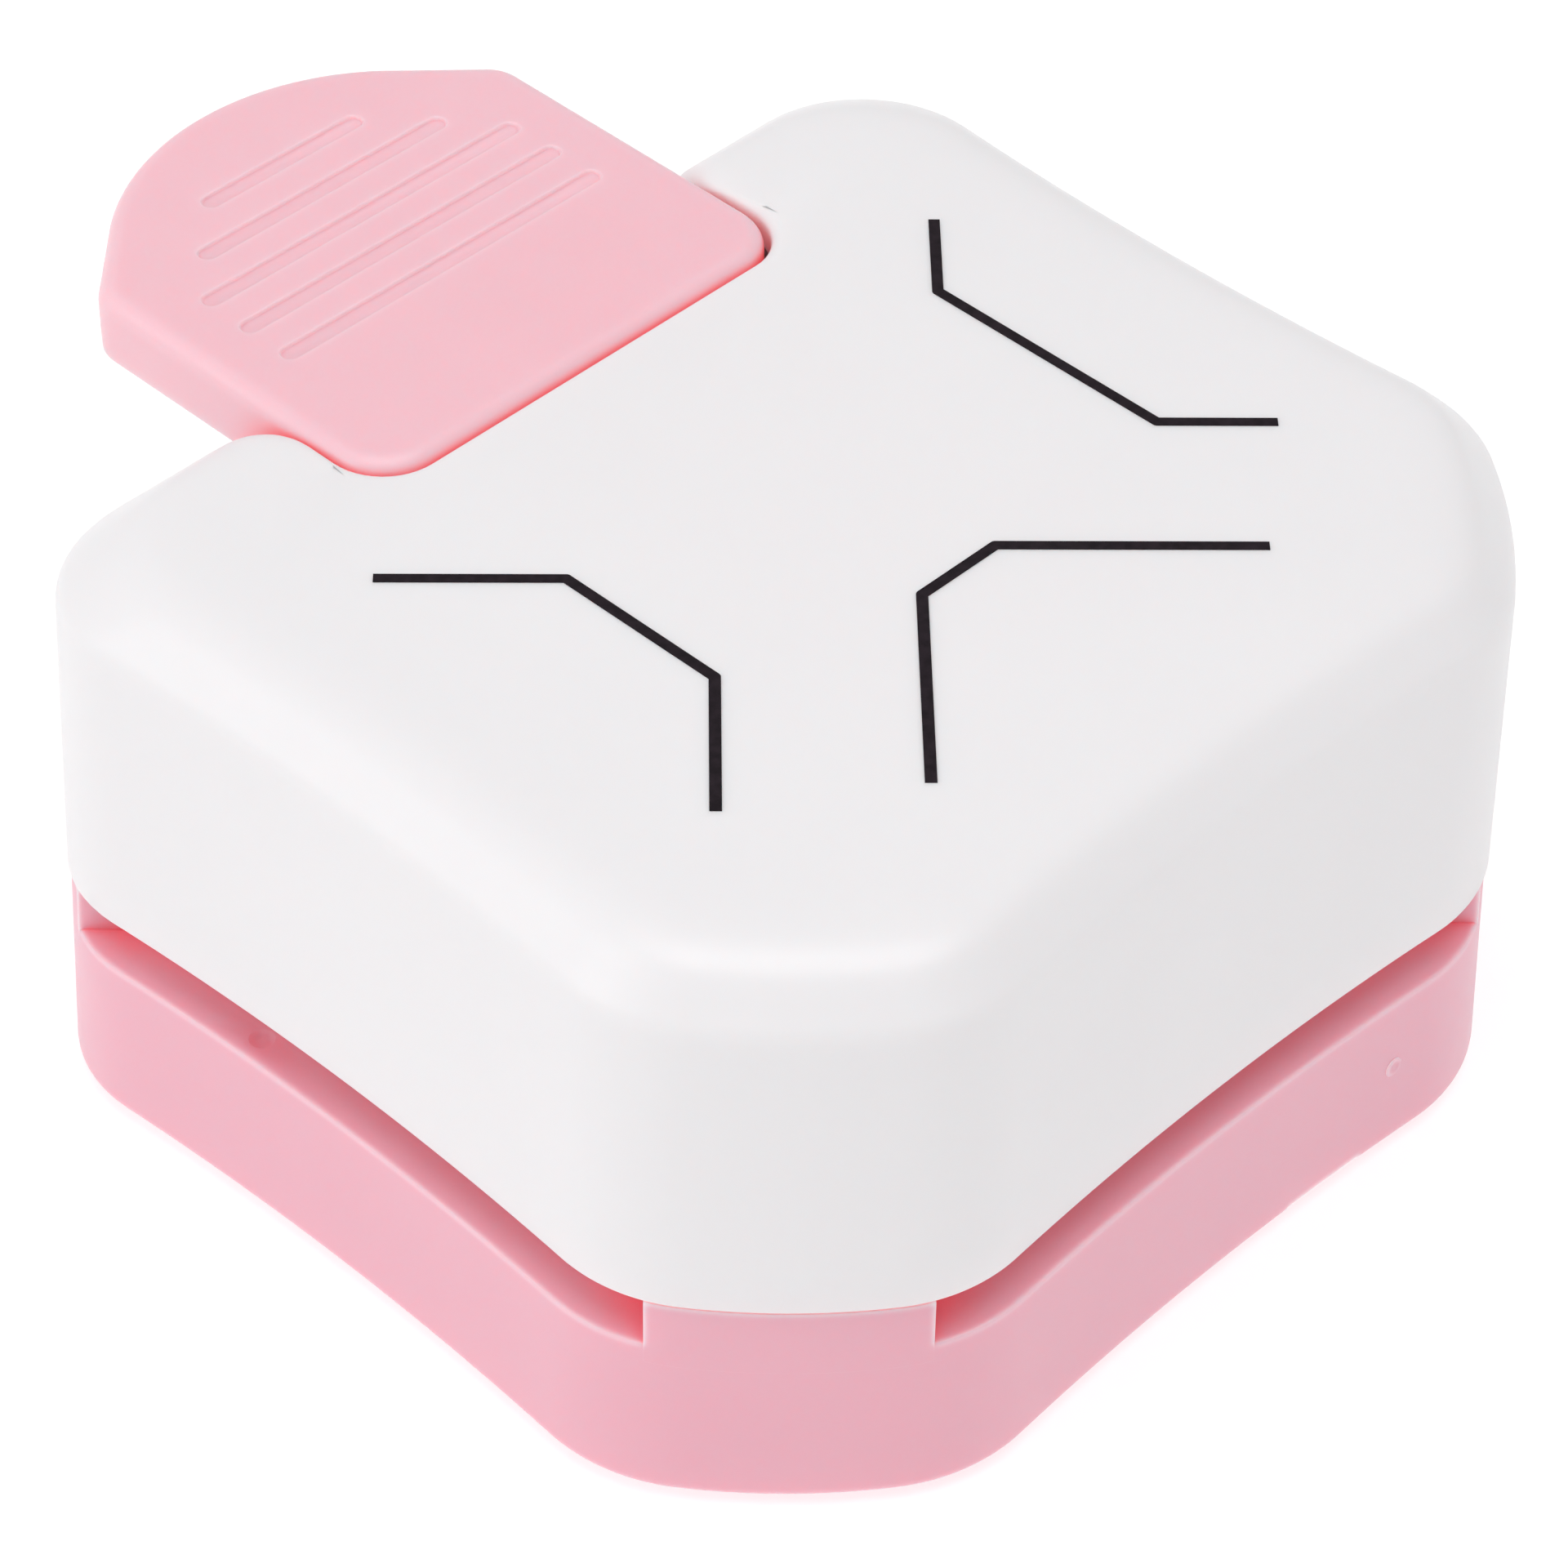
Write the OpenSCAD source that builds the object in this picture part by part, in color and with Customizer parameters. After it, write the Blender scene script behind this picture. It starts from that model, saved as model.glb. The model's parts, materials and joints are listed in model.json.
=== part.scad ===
// Three-way corner punch: a square base and a cover with hollow sides, a press lever at the back, and
// three paper slots. The lever drives three punches, and each trims a paper corner to its own chamfer.

/* [Body] */
// Half width of the base at the middle of a side
base_half = 34.34; // [33:0.1:36]
// Radius of the hollow sides
hollow_r = 223.4; // [180:1:300]
// Distance from the middle to a corner face, along the diagonal
corner_reach = 40.92; // [39.5:0.1:42]
// Radius of the corner faces
corner_r = 38.56; // [34:0.5:44]
// Radius that blends a corner face into a side
shoulder_r = 11.46; // [9:0.5:13]
// Distance from the middle to the rear face of the base
base_rear = 27.7; // [26.5:0.1:29]
// Radius of the two rear corners
rear_corner_r = 9; // [8:0.5:12]
// Height of the ledge that the paper lies on, above the underside of the base
ledge_z = 10.75; // [10:0.25:12]
// Height of a paper slot at its mouth
slot_h = 3.38; // [3.2:0.1:4]
// Half width of a front post between two slots
post_half = 7.65; // [6.5:0.1:8.5]
// Half width of a rear post, measured the same way
rear_post_half = 8.3; // [7:0.1:9]
// Thickness of the moulded walls
wall = 2.2; // [1.8:0.1:2.6]

/* [Cover] */
// Height of the flat top above the underside of the base
top_z = 37; // [36:0.5:39]
// Step inwards from the base's outline to the cover's
cover_step = 0.6; // [0.3:0.1:0.9]
// Half width of the notch that the lever sits in
notch_half = 16.3; // [16.2:0.1:17]
// Distance from the middle to the notch's inner edge
notch_y = 14.8; // [14:0.1:15]
// Height of the notch's floor in the rear wall
notch_floor_z = 22.5; // [21:0.5:23]

/* [Lever] */
// Half width of the lever's pad
pad_half = 16; // [15:0.1:16.1]
// Inner edge of the pad
pad_inner_y = 15.2; // [15.1:0.05:16]
// Outer tip of the pad
pad_tip_y = 47.95; // [45:0.05:49]
// Height of the pad's side
pad_h = 4.4; // [4.3:0.1:5.5]
// Swing of the lever, from rest to fully pressed, in degrees
lever_swing = 9.9; // [6:0.1:10]
// Distance from the lever's pin to the drive pin
drive_arm = 20; // [19:0.5:21]

/* [Cutting sizes] */
// Chamfer leg of the small punch
small_leg = 4; // [3:0.5:5]
// Chamfer leg of the medium punch
medium_leg = 7; // [6:0.5:8]
// Chamfer leg of the large punch
large_leg = 10; // [9:0.5:10]

/* [Feet] */
// Height that the rubber feet stand below the base
foot_h = 0.8; // [0.5:0.1:1.5]
// Radius of a foot
foot_r = 4; // [3:0.1:4.2]

/* [Hidden] */
$fn = 64;

pink = [0.95, 0.75, 0.79];
white = [0.95, 0.94, 0.95];
steel = [0.72, 0.73, 0.75];
ink = [0.15, 0.12, 0.17];
rubber = [0.55, 0.55, 0.57];

eps = 0.01;
slide_gap = 0.1;
run_gap = 0.05;
// The lever swings the drive pin's hole outwards by up to 0.07 mm, so it is wider and starts further in.
drive_gap = 0.09;
drive_shift = 0.037;

// The whole object reaches from the front face to the pad's tip; its origin is the middle of that length.
front_y = -35;
centre_y = (pad_tip_y + front_y) / 2;

// Outlines are right halves: arcs as [centre, radius, side, start angle, end angle, steps].
// side is 1 for a convex arc and -1 for a hollow one, so that an inset keeps every centre.
function between(a, b) = atan2(b.y - a.y, b.x - a.x);
function circles_meet(a, ra, b, rb) =
    let (d = norm(b - a), along = (ra * ra - rb * rb + d * d) / (2 * d))
    let (up = sqrt(ra * ra - along * along), dir = (b - a) / d)
    a + along * dir + up * [dir.y, -dir.x];
front_centre = [0, -(base_half + hollow_r)];
side_centre = [base_half + hollow_r, 0];
face_centre = (corner_reach - corner_r) * [1, -1] / sqrt(2);
shoulder = circles_meet(front_centre, hollow_r + shoulder_r, face_centre, corner_r - shoulder_r);
rear_corner = let (y = base_rear - rear_corner_r)
    [side_centre.x - sqrt(pow(hollow_r + rear_corner_r, 2) - y * y), y];
side_angle = between(front_centre, shoulder);
face_angle = between(face_centre, shoulder);
rear_angle = between(rear_corner, side_centre);
body_outline = [
    [front_centre, hollow_r, -1, 90, side_angle, 4],
    [shoulder, shoulder_r, 1, side_angle - 180, face_angle, 6],
    [face_centre, corner_r, 1, face_angle, -90 - face_angle, 6],
    [[-shoulder.y, -shoulder.x], shoulder_r, 1, -90 - face_angle, 90 - side_angle, 6],
    [side_centre, hollow_r, -1, 270 - side_angle, 180 + rear_angle, 6],
    [rear_corner, rear_corner_r, 1, rear_angle, 90, 6],
];

// The pad: straight sides, 45 degree flanks and a round nose.
pad_corner_r = 3.6;
nose_r = 16.1;
nose_flank = 41;
shoulder_pad_r = 2.6;
shoulder_back = 10.2;
pad_outline = [
    [[pad_half - pad_corner_r, pad_inner_y + pad_corner_r], pad_corner_r, 1, -90, 0, 5],
    [[pad_half - shoulder_pad_r, pad_tip_y - shoulder_back], shoulder_pad_r, 1, 0, 45, 4],
    [[0, pad_tip_y - nose_r], nose_r, 1, 90 - nose_flank, 90, 8],
];

function arc(c, r, start, end, steps) =
    [for (i = [0:steps]) c + r * [cos(start + (end - start) * i / steps), sin(start + (end - start) * i / steps)]];
function half_ring(outline, inset) = [for (a = outline) each arc(a[0], a[1] - a[2] * inset, a[3], a[4], a[5])];
function ring(outline, inset) =
    let (h = half_ring(outline, inset))
    concat(h, [for (i = [len(h) - 1:-1:0]) if (h[i].x > eps) [-h[i].x, h[i].y]]);

// Skin through one outline at several heights; levels are [height, inset] from the bottom up.
module loft(outline, levels, hub_y) {
    rings = [for (l = levels) ring(outline, l[1])];
    n = len(rings[0]);
    last = len(levels) - 1;
    skin = [for (k = [0:last]) for (p = rings[k]) [p.x, p.y, levels[k][0]]];
    hubs = [[0, hub_y, levels[0][0]], [0, hub_y, levels[last][0]]];
    low = n * (last + 1);
    ends = [for (i = [0:n - 1]) each [
        [low, i, (i + 1) % n],
        [low + 1, last * n + (i + 1) % n, last * n + i],
    ]];
    sides = [for (k = [0:last - 1]) for (i = [0:n - 1]) each [
        [k * n + i, (k + 1) * n + i, (k + 1) * n + (i + 1) % n],
        [k * n + i, (k + 1) * n + (i + 1) % n, k * n + (i + 1) % n],
    ]];
    polyhedron(concat(skin, hubs), concat(ends, sides));
}

module place() {
    translate([0, -centre_y, foot_h]) children();
}

module slab(low, high) {
    translate([0, 0, low]) linear_extrude(high - low) children();
}

module outline_2d(inset) {
    polygon(ring(body_outline, inset));
}

module hole(at, r, low, high) {
    translate([at.x, at.y, low]) cylinder(r = r, h = high - low);
}

module mirrored() {
    children();
    mirror([1, 0, 0]) children();
}

module cross_bar(r, half_length, y, z) {
    translate([-half_length, y, z]) rotate([0, 90, 0]) cylinder(r = r, h = 2 * half_length);
}

// Heights in the body, measured from the underside of the base.
cover_z = ledge_z + slot_h;
post_z = cover_z - 0.18;
roof_z = ledge_z + 2.45;
guide_t = 1.5;
guide_top_z = roof_z + guide_t;
bracket_t = 1.2;
bracket_top_z = guide_top_z + bracket_t;
die_t = 2;
deck_t = 3;
deck_z = ledge_z - deck_t;
carrier_z = 19.6;
carrier_t = 3;
carrier_top_z = carrier_z + carrier_t;
drive_z = 26;
half_swing = lever_swing / 2;
pin_y = -20;
pin_z = drive_z - drive_arm * sin(half_swing);
drive_y = pin_y + drive_arm * cos(half_swing);
stroke = 2 * drive_arm * sin(half_swing);
pin_r = 1.5;
shell_step = cover_step + wall;
ceiling_z = top_z - wall;

// Screw columns stand in the front corners and the rear corners.
column_r = 6.2;
boss_r = 3.4;
front_column = 33.2 * [1, -1] / sqrt(2);
rear_column = rear_corner - [0.2, 0.2];
columns = [front_column, rear_column];
frame_screw_front = 24.3 * [1, -1] / sqrt(2);
frame_screw_rear = [18, 13.5];
rod_at = [10, 14];
rod_r = 1.5;
rod_top_z = 23;
well_r = 4;
well_z = 5;
well_floor_t = 2.4;

// A paper corner pushed home comes to rest with its tip here, against the fences on both sides.
front_fence = post_half * sqrt(2);
rear_fence = rear_post_half * sqrt(2);
side_tip = [(front_fence + rear_fence) / 2, (front_fence - rear_fence) / 2];
punches = [
    [[0, -front_fence], -90, small_leg],
    [[-side_tip.x, side_tip.y], 180, medium_leg],
    [side_tip, 0, large_leg],
];
punch_tip_z = roof_z + 0.2;

// Section of a punch, with its cutting edge along the chamfer and its back rounded past the paper's tip.
module punch_2d(p, grow) {
    depth = p[2] / sqrt(2);
    half = depth + 1;
    translate(p[0]) rotate(p[1]) polygon([
        [depth + grow, -half - grow],
        [depth + grow, half + grow],
        [depth - 1.5, half + grow],
        [-0.9 - grow, 1.2 + grow],
        [-0.9 - grow, -1.2 - grow],
        [depth - 1.5, -half - grow],
    ]);
}

module punch_holes(grow, low, high) {
    for (p = punches) slab(low, high) punch_2d(p, grow);
}

function punch_middle(p) =
    let (d = p[2] / sqrt(2) / 2)
    p[0] + d * [cos(p[1]), sin(p[1])];

// Ground behind the fences: two strips along the front diagonals, and all of the rear.
fence_start = 21.5;
rear_start = 8.8;
module fence_2d() {
    for (a = [-45, -135]) rotate(a) translate([fence_start, -post_half]) square([30, 2 * post_half]);
    polygon([
        [-rear_fence - rear_start, rear_start],
        [rear_fence + rear_start, rear_start],
        [rear_fence + 40, 40],
        [-rear_fence - 40, 40],
    ]);
}

// Outer part of the fences, which rises past the guide plate to the cover.
high_start = 27.2;
module high_2d(grow) {
    for (a = [-45, -135]) {
        rotate(a) translate([high_start - grow, -post_half - grow]) square([30, 2 * (post_half + grow)]);
    }
    for (a = [45, 135]) {
        rotate(a) translate([high_start - grow, -rear_post_half - grow]) square([30, 2 * (rear_post_half + grow)]);
    }
    translate([-40, 20.2 - grow]) square([80, 30]);
}

die_front = -17;
die_rear = 8.5;
die_side = 21.5;
die_chamfer = 30;
module die_2d(grow) {
    polygon([
        [die_front + die_chamfer, die_front - grow],
        [die_side + grow, die_side - die_chamfer],
        [die_side + grow, die_rear + grow],
        [-die_side - grow, die_rear + grow],
        [-die_side - grow, die_side - die_chamfer],
        [-die_front - die_chamfer, die_front - grow],
    ]);
}
die_screws_at = [[7, 5.5], [8, -14]];
die_z = ledge_z - die_t;

lid_t = 1.6;
lid_axis = [20.6, 1.6];
lid_barrel_r = 1.6;
lid_barrel_half = 14.6;
lug_half = 2.4;
lug_outer = [15, 17.4];
base_wall = 2.4;
lid_gap = 0.3;
hinge_pin_r = 0.8;

// One lug of the lid's hinge, from x = from to x = to.
module lug(from, to) {
    translate([from, 0, 0]) rotate([90, 0, 90]) linear_extrude(to - from) {
        translate(lid_axis) circle(r = lid_barrel_r);
        translate([lid_axis.x, 0]) square([2.2, lid_axis.y + lid_barrel_r]);
    }
}

module base_body() {
    loft(body_outline, [[0, 0.5], [0.5, 0], [10.3, 0.42], [ledge_z, 0.85]], 0);
    slab(ledge_z - 1, roof_z) intersection() {
        outline_2d(0.85);
        fence_2d();
    }
    slab(ledge_z - 1, post_z) intersection() {
        outline_2d(0.6);
        fence_2d();
        high_2d(0);
    }
}

module base_hollow() {
    difference() {
        slab(-1, deck_z) outline_2d(base_wall);
        mirrored() for (c = columns) hole(c, column_r, -2, deck_z + 1);
        mirrored() hole(rod_at, well_r + 1.4, well_z - well_floor_t, deck_z + 1);
        slab(-2, lid_t) translate([-20, lid_axis.x + 1.9]) square([40, 10]);
        lug(-lug_half, lug_half);
        mirrored() lug(lug_outer[0], lug_outer[1]);
    }
}

module base_shell() {
    color(pink) place() difference() {
        base_body();
        base_hollow();
        slab(die_z, ledge_z + 5) difference() {
            die_2d(0.1);
            translate([-40, rear_start]) square([80, 20]);
        }
        punch_holes(0.8, deck_z - 1, die_z + 1);
        mirrored() {
            hole(rod_at, well_r, well_z, 20);
            hole(rod_at, rod_r, 0, 20);
            for (c = columns) {
                hole(c, 1.5, -1, 20);
                hole(c, 2.5, -1, 3.2);
                hole(c, foot_r + 0.1, -1, foot_h);
            }
            hole(frame_screw_front, 1.05, deck_z - 1, 20);
            hole(frame_screw_rear, 1.05, deck_z - 1, 20);
            for (s = die_screws_at) hole(s, 0.85, deck_z - 1, 20);
        }
        cross_bar(hinge_pin_r, lug_outer[1], lid_axis.x, lid_axis.y);
        translate([9, front_y + 0.6, -1]) cylinder(r = 3, h = 1.7);
    }
}

mouth_r = 2.5;
notch_r = 3.8;
module notch_2d() {
    difference() {
        translate([-notch_half - mouth_r, notch_y]) square([2 * (notch_half + mouth_r), 20]);
        mirrored() {
            translate([notch_half, 0]) square([mouth_r + 1, base_rear - cover_step - mouth_r]);
            translate([notch_half + mouth_r, base_rear - cover_step - mouth_r]) circle(r = mouth_r);
            difference() {
                translate([notch_half - notch_r, notch_y - 1]) square([notch_r + 1, notch_r + 1]);
                translate([notch_half - notch_r, notch_y + notch_r]) circle(r = notch_r);
            }
        }
    }
}

cover_levels = [
    [cover_z, cover_step + 0.15],
    [cover_z + 0.2, cover_step],
    [top_z - 3.8, cover_step + 0.45],
    [top_z - 3, cover_step + 0.75],
    [top_z - 2.4, cover_step + 1.25],
    [top_z - 0.55, cover_step + 3.2],
    [top_z - 0.15, cover_step + 4.2],
    [top_z, cover_step + 6],
];

module top_cover() {
    color(white) place() difference() {
        loft(body_outline, cover_levels, 0);
        difference() {
            slab(cover_z - 1, ceiling_z) outline_2d(shell_step + 0.4);
            mirrored() for (c = columns) hole(c, boss_r, post_z - 2, ceiling_z + 1);
        }
        mirrored() for (c = columns) hole(c, 1.3, post_z - 2, 24);
        slab(notch_floor_z, top_z + 1) notch_2d();
    }
}

module groove(half_length, y) {
    translate([0, y, top_z - 0.5]) linear_extrude(2) {
        square([2 * half_length - 1, 1], center = true);
        for (s = [-1, 1]) translate([s * (half_length - 0.5), 0]) circle(r = 0.5);
    }
}

groove_halves = [12.2, 12.2, 12.1, 9.4, 6];
groove_y = 27.2;
groove_pitch = 3.41;
pad_z = top_z - pad_h;
arm_top_z = 33.8;
arm_z = 31.3;
rib_z = 29.5;

// Outline in the Y and Z directions, extruded across X between from and to.
module side_plate(points, from, to) {
    translate([from, 0, 0]) rotate([90, 0, 90]) linear_extrude(to - from) polygon(points);
}

module press_lever() {
    color(pink) place() difference() {
        union() {
            difference() {
                loft(pad_outline, [
                    [pad_z, 0.3],
                    [pad_z + 0.3, 0],
                    [top_z - 1.05, 0.1],
                    [top_z - 0.45, 0.4],
                    [top_z - 0.05, 1.2],
                ], 30);
                slab(pad_z - 1, top_z - 2.3) polygon(ring(pad_outline, 2));
            }
            for (x = [-8, 0, 8]) {
                translate([x - 0.7, pad_inner_y + 1, pad_z + 0.4]) cube([1.4, 27, 2.6]);
            }
            side_plate([[-23.6, pin_z], [-20, arm_top_z], [20, arm_top_z], [20, arm_z],
                [-15.6, arm_z], [-16.4, pin_z]], -12, 12);
            mirrored() side_plate([[-20, 22], [-16.3, 22.6], [-8, rib_z], [19, rib_z], [19, arm_z + 1],
                [-16, arm_z + 1]], 10, 12);
            cross_bar(4, 12.6, pin_y, pin_z);
            side_plate([[drive_y - 2.7, drive_z], [drive_y + 2.7, drive_z], [drive_y + 4, arm_z + 1],
                [drive_y - 4, arm_z + 1]], -3, 3);
            cross_bar(2.7, 3, drive_y, drive_z);
        }
        cross_bar(pin_r + run_gap, 20, pin_y, pin_z);
        cross_bar(pin_r + drive_gap, 20, drive_y - drive_shift, drive_z);
        for (i = [0:4]) groove(groove_halves[i], groove_y + groove_pitch * i);
    }
}

ear_in = 13;
ear_out = ear_in + bracket_t;
module lever_pin() {
    color(steel) place() cross_bar(pin_r, ear_out + 1.6, pin_y, pin_z);
}

module pin_clips() {
    color(steel) place() mirrored() translate([ear_out + 0.1, pin_y, pin_z]) rotate([0, 90, 0]) {
        difference() {
            cylinder(r = 3, h = 0.6);
            translate([0, 0, -1]) cylinder(r = pin_r + eps, h = 3);
            translate([0, -0.9, -1]) cube([4, 1.8, 3]);
        }
    }
}

module pivot_bracket() {
    color(steel) place() difference() {
        union() {
            slab(guide_top_z, bracket_top_z) translate([-19.5, -26]) square([39, 11.2]);
            mirrored() side_plate(concat(
                [[-25, guide_top_z], [-16, guide_top_z]],
                arc([pin_y, pin_z], 4, 0, 180, 12)
            ), ear_in, ear_out);
        }
        cross_bar(pin_r + eps, 20, pin_y, pin_z);
        mirrored() hole(frame_screw_front, 1.1, guide_top_z - 1, bracket_top_z + 1);
    }
}

module die_plate() {
    color(steel) place() difference() {
        slab(die_z, ledge_z) die_2d(0);
        punch_holes(slide_gap, 0, 20);
        mirrored() for (s = die_screws_at) {
            hole(s, 0.9, die_z - 1, ledge_z + 1);
            translate([s.x, s.y, ledge_z - 0.8]) cylinder(r1 = 0.9, r2 = 1.75, h = 0.81);
        }
    }
}

module die_screws() {
    color(steel) place() mirrored() for (s = die_screws_at) {
        hole(s, 0.8, deck_z, ledge_z - 0.8);
        translate([s.x, s.y, ledge_z - 0.8]) cylinder(r1 = 0.8, r2 = 1.6, h = 0.75);
    }
}

module guide_plate() {
    color(pink) place() difference() {
        slab(roof_z, guide_top_z) difference() {
            outline_2d(shell_step + 0.8);
            high_2d(0.2);
        }
        punch_holes(slide_gap, 0, 30);
        mirrored() {
            hole(rod_at, well_r + 0.2, 0, 30);
            hole(rear_column, boss_r + 0.2, 0, 30);
            hole(frame_screw_front, 1.1, 0, 30);
            hole(frame_screw_rear, 1.1, 0, 30);
        }
    }
}

// Pan head screw, head up, with a cross recess.
module pan_screw(at, seat_z, head_r, head_h, shank_r, shank_h) {
    translate([at.x, at.y, seat_z]) difference() {
        union() {
            cylinder(r = head_r, h = head_h);
            translate([0, 0, -shank_h]) cylinder(r = shank_r, h = shank_h);
        }
        for (a = [0, 90]) {
            rotate(a) translate([-head_r * 0.6, -0.25, head_h - 0.6]) cube([head_r * 1.2, 0.5, 1]);
        }
    }
}

module frame_screws() {
    color(steel) place() mirrored() {
        pan_screw(frame_screw_front, bracket_top_z, 1.9, 1.2, 1, 7);
        pan_screw(frame_screw_rear, guide_top_z, 1.9, 1.2, 1, 6);
    }
}

module cover_screws() {
    color(steel) place() mirrored() for (c = columns) {
        translate([c.x, c.y, 3.2]) mirror([0, 0, 1]) pan_screw([0, 0], 0, 2.3, 1.8, 1.25, 19);
    }
}

module punch(p) {
    color(steel) place() difference() {
        slab(punch_tip_z, carrier_z) punch_2d(p, 0);
        hole(punch_middle(p), 1, carrier_z - 4, carrier_z + 1);
    }
}

module punch_small() {
    punch(punches[0]);
}

module punch_medium() {
    punch(punches[1]);
}

module punch_large() {
    punch(punches[2]);
}

module rounded_2d(x0, x1, y0, y1, r) {
    translate([x0 + r, y0]) square([x1 - x0 - 2 * r, y1 - y0]);
    translate([x0, y0 + r]) square([x1 - x0, y1 - y0 - 2 * r]);
    for (x = [x0 + r, x1 - r]) for (y = [y0 + r, y1 - r]) translate([x, y]) circle(r = r);
}

module punch_carrier() {
    color([0.62, 0.63, 0.66]) place() difference() {
        union() {
            slab(carrier_z, carrier_top_z) {
                rounded_2d(-20.5, 20.5, -10, 9.5, 3);
                rounded_2d(-14.5, 14.5, 0, 18.5, 4);
                rounded_2d(-7, 7, -15.2, 0, 2);
            }
            mirrored() side_plate(concat(
                [[drive_y - 2.7, carrier_top_z - 0.5], [drive_y + 2.7, carrier_top_z - 0.5]],
                arc([drive_y, drive_z], 2.7, 0, 180, 12)
            ), 3.4, 6);
        }
        for (p = punches) hole(punch_middle(p), 1.05, 0, 30);
        mirrored() hole(rod_at, rod_r + run_gap, 0, 30);
        cross_bar(pin_r + eps, 8, drive_y, drive_z);
    }
}

module punch_screws() {
    color(steel) place() for (p = punches) pan_screw(punch_middle(p), carrier_top_z, 1.9, 1.2, 0.95, 6.8);
}

module drive_pin() {
    color(steel) place() cross_bar(pin_r, 6.6, drive_y, drive_z);
}

module guide_rod() {
    color(steel) place() hole(rod_at, rod_r - eps, well_z - well_floor_t, rod_top_z);
}

module guide_rod_right() {
    guide_rod();
}

module guide_rod_left() {
    mirror([1, 0, 0]) guide_rod();
}

// Compression spring with one closed turn at each end.
spring_r = 2.9;
spring_wire = 0.8;
spring_turns = 8;
turn_steps = 12;
wire_sides = 8;
module return_spring() {
    closed = spring_wire + 0.05;
    free = carrier_z - well_z - 0.04;
    pitch = (free - spring_wire - 2 * closed) / (spring_turns - 2);
    steps = spring_turns * turn_steps;
    rise = [for (i = [0:steps]) let (t = i / turn_steps)
        closed * min(t, 1) + pitch * max(0, min(t - 1, spring_turns - 2)) + closed * max(0, t - spring_turns + 1)];
    points = [for (i = [0:steps]) let (a = 360 * i / turn_steps) for (j = [0:wire_sides - 1])
        let (b = 360 * j / wire_sides, r = spring_r + spring_wire / 2 * cos(b))
        [r * cos(a), r * sin(a), rise[i] + spring_wire / 2 * (1 + sin(b))]];
    caps = [
        [for (j = [0:wire_sides - 1]) j],
        [for (j = [wire_sides - 1:-1:0]) steps * wire_sides + j],
    ];
    skin = [for (i = [0:steps - 1]) for (j = [0:wire_sides - 1])
        let (a = i * wire_sides + j, b = i * wire_sides + (j + 1) % wire_sides)
        each [[a, a + wire_sides, b + wire_sides], [a, b + wire_sides, b]]];
    color(steel) place() translate([rod_at.x, rod_at.y, well_z + 0.02]) polyhedron(points, concat(caps, skin));
}

module return_spring_right() {
    return_spring();
}

module return_spring_left() {
    mirror([1, 0, 0]) return_spring();
}

module scrap_lid() {
    color(pink) place() difference() {
        union() {
            slab(0, lid_t) difference() {
                outline_2d(base_wall + lid_gap);
                mirrored() for (c = columns) translate(c) circle(r = column_r + 0.5);
                translate([-40, lid_axis.x - 2]) square([80, 20]);
            }
            translate([-lid_barrel_half, lid_axis.x - 2.5, 0]) cube([2 * lid_barrel_half, 2.5, lid_t]);
            cross_bar(lid_barrel_r, lid_barrel_half, lid_axis.x, lid_axis.y);
        }
        translate([-lug_half - 0.3, lid_axis.x - 2, -1]) cube([2 * lug_half + 0.6, 10, 6]);
        cross_bar(hinge_pin_r + run_gap, 20, lid_axis.x, lid_axis.y);
        translate([9, front_y + 2, -1]) cylinder(r = 5, h = 1.7);
    }
}

module lid_hinge_pin() {
    color(steel) place() cross_bar(hinge_pin_r - eps, lug_outer[1], lid_axis.x, lid_axis.y);
}

module foot(at) {
    color(rubber) place() hole(at, foot_r, -foot_h, foot_h - eps);
}

module foot_front_right() {
    foot(front_column);
}

module foot_front_left() {
    foot([-front_column.x, front_column.y]);
}

module foot_rear_right() {
    foot(rear_column);
}

module foot_rear_left() {
    foot([-rear_column.x, rear_column.y]);
}

// Printed sign for one chamfer: the cut edge between the two paper edges, on the side that faces out.
mark_w = 0.65;
mark_h = 0.06;
module mark(at, angle, cut, tail) {
    bend = cut / 2 + mark_w * 0.2;
    end = tail / sqrt(2);
    route = [[end, -bend - end], [0, -bend], [0, bend], [end, bend + end]];
    color(ink) place() translate([at.x, at.y, top_z]) rotate(angle) linear_extrude(mark_h) {
        for (i = [0:2]) {
            step = route[i + 1] - route[i];
            translate(route[i]) rotate(between(route[i], route[i + 1])) {
                translate([0, -mark_w / 2]) square([norm(step), mark_w]);
            }
        }
        for (i = [1:2]) translate(route[i]) circle(r = mark_w / 2);
    }
}

module size_mark_small() {
    mark([1.05, -11.9], -90, 5.5, 14.8);
}

module size_mark_medium() {
    mark([-14.37, -3.2], 180, 10.9, 10.3);
}

module size_mark_large() {
    mark([18.05, -2.75], 0, 16.3, 6.7);
}

base_shell();
top_cover();
press_lever();
lever_pin();
pin_clips();
pivot_bracket();
die_plate();
die_screws();
guide_plate();
frame_screws();
cover_screws();
punch_small();
punch_medium();
punch_large();
punch_carrier();
punch_screws();
drive_pin();
guide_rod_left();
guide_rod_right();
return_spring_left();
return_spring_right();
scrap_lid();
lid_hinge_pin();
foot_front_left();
foot_front_right();
foot_rear_left();
foot_rear_right();
size_mark_small();
size_mark_medium();
size_mark_large();
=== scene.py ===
"""Looks of the corner rounder: smooth moulded shells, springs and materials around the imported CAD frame."""

import json
import math

import bpy
import numpy as np
from mathutils import Matrix, Vector


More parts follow.
